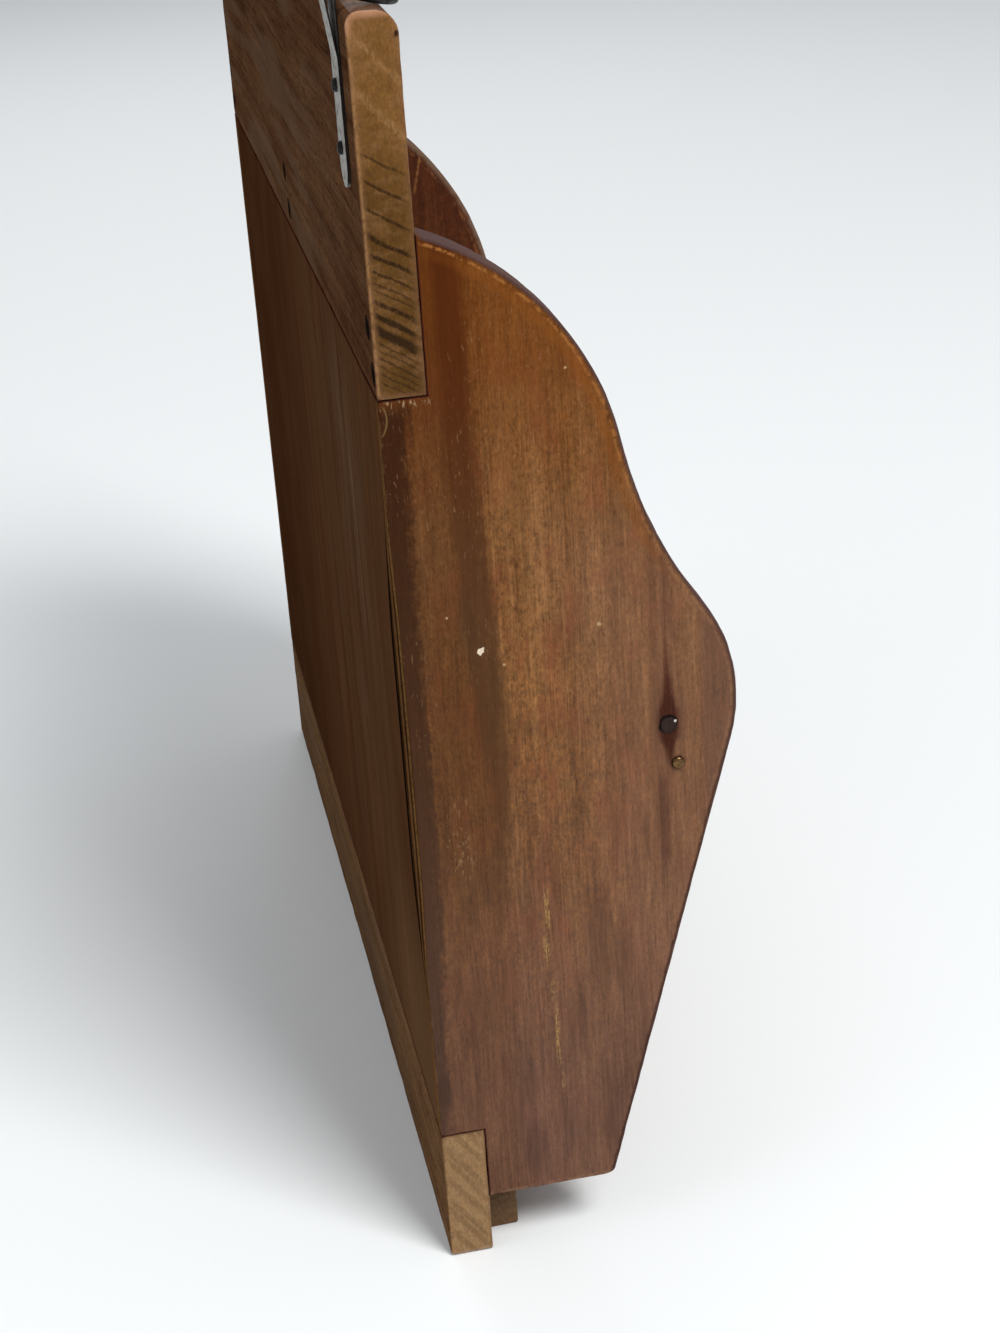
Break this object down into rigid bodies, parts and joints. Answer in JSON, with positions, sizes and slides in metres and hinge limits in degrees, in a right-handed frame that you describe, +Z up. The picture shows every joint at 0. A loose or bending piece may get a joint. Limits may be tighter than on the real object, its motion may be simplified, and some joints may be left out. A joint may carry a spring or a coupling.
{
  "type": "wall mail organizer",
  "caption": "Wooden wall organizer for letters: side-by-side slanted pockets between scroll-shaped boards and two rails, hung by D-rings.",
  "frame": {"origin": "on the wall plane, at mid width and at the lowest edge of the bottom rail's back face", "axes": "+Y into the wall, so the front faces -Y; +Z up; +X to the right seen from the front"},
  "size_m": [0.3576, 0.0941, 0.3675],
  "materials": {
    "side_wood": "worn oiled wood",
    "divider_wood": "dark worn wood",
    "rail_wood": "aged wood with pale end grain",
    "back_panel_wood": "dull aged wood",
    "front_panel_wood": "worn oiled wood",
    "inner_wood": "plain wood",
    "strip_wood": "aged wood",
    "nail_iron": "rusty dark iron",
    "nail_brass": "tarnished brass",
    "strap_steel": "dull steel",
    "ring_steel": "dark steel wire",
    "screw_steel": "dark steel"
  },
  "bodies": {
    "organizer": {"left_side": "side_wood", "right_side": "side_wood", "center_divider": "divider_wood", "top_rail": "rail_wood", "bottom_rail": "rail_wood", "back_panel": "back_panel_wood", "left_front_panel": "front_panel_wood", "right_front_panel": "front_panel_wood", "left_bottom_board": "inner_wood", "right_bottom_board": "inner_wood", "lower_strip": "strip_wood", "rail_nails": "nail_iron", "brass_nails": "nail_brass", "left_hanger_strap": "strap_steel", "right_hanger_strap": "strap_steel", "hanger_screws": "screw_steel"},
    "left_ring_body": {"left_ring": "ring_steel"},
    "right_ring_body": {"right_ring": "ring_steel"}
  },
  "joints": [
    {"name": "left_ring_hinge", "type": "hinge", "parent": "organizer", "child": "left_ring_body", "pos_m": [-0.1595, 0.00155, 0.366], "axis": [-1, 0, 0], "range_deg": [0, 280]},
    {"name": "right_ring_hinge", "type": "hinge", "parent": "organizer", "child": "right_ring_body", "pos_m": [0.1595, 0.00155, 0.366], "axis": [-1, 0, 0], "range_deg": [0, 280]}
  ]
}
